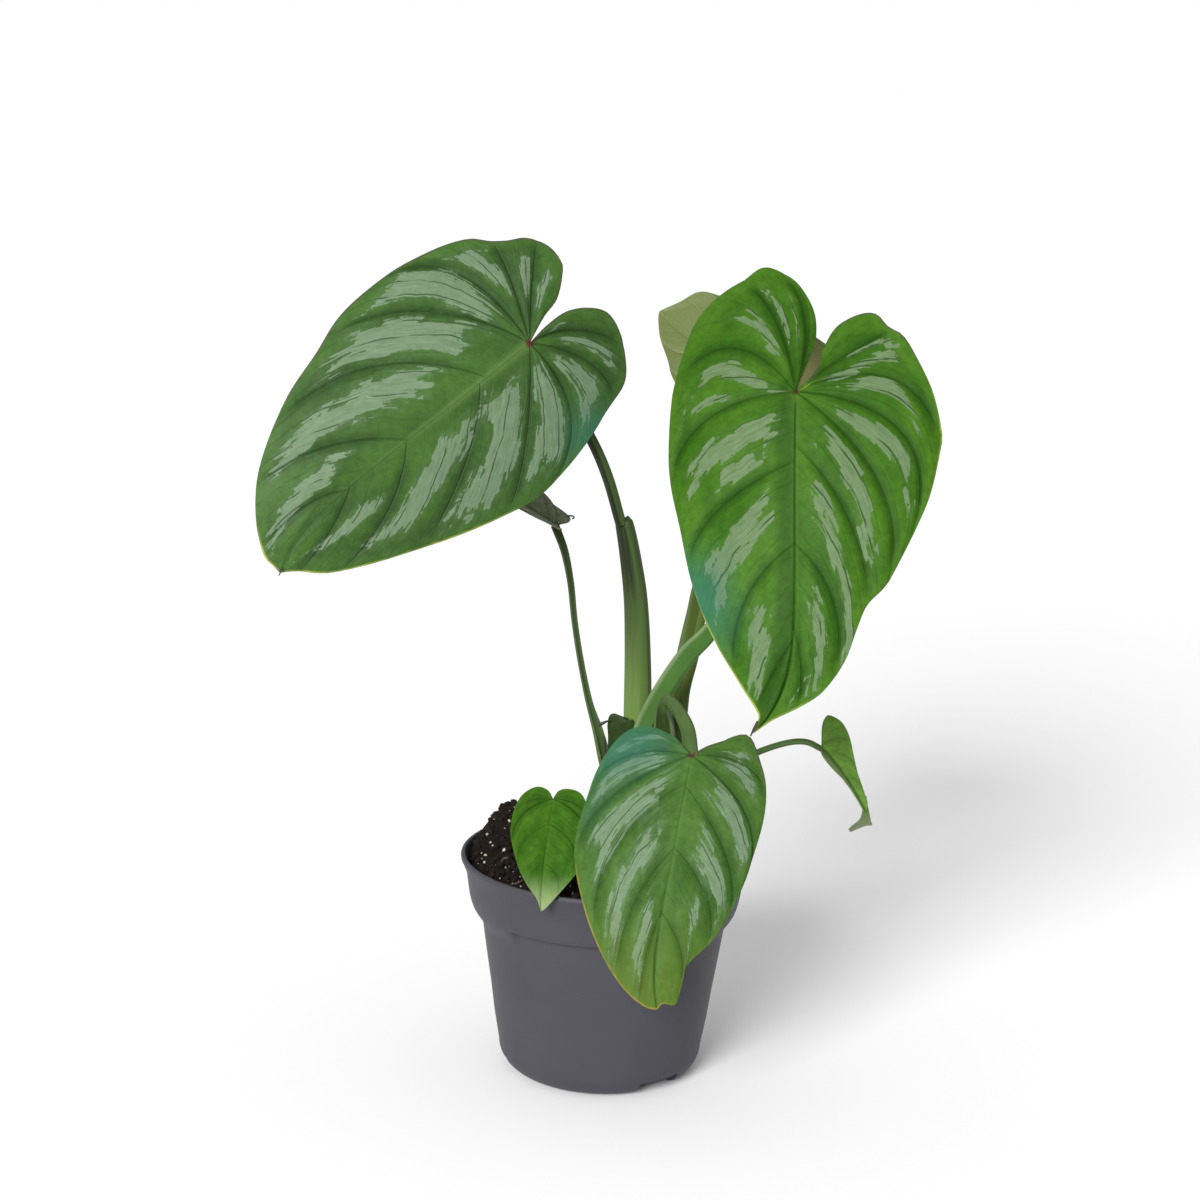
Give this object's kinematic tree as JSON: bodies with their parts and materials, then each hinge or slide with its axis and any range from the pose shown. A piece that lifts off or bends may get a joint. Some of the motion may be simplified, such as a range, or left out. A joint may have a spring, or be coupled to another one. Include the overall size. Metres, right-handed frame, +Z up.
{
  "type": "potted philodendron",
  "caption": "Young philodendron with heart-shaped, silver-splashed leaves on long grooved stalks, standing in soil in a round tapered nursery pot.",
  "frame": {"origin": "middle of the pot's underside, at the level that it stands on", "axes": "+Z up; -Y is the front, the side that faces the camera; +X is to the right seen from the front"},
  "size_m": [0.2579, 0.15, 0.3447],
  "materials": {
    "pot_plastic": "matte",
    "soil": "loose and rough",
    "crown": "satin",
    "bract": "satin",
    "stalk": "satin",
    "leaf": "satin",
    "young_leaf": "satin"
  },
  "bodies": {
    "root": {"pot": "pot_plastic", "soil": "soil", "crown": "crown", "bract": "bract", "leaf_left": "leaf", "stalk_left": "stalk", "leaf_right": "leaf", "stalk_right": "stalk", "leaf_back": "young_leaf", "stalk_back": "stalk", "leaf_front": "leaf", "stalk_front": "stalk", "leaf_small": "leaf", "stalk_small": "stalk", "leaf_hanging": "leaf", "stalk_hanging": "stalk", "leaf_folded": "leaf", "stalk_folded": "stalk"}
  },
  "joints": []
}
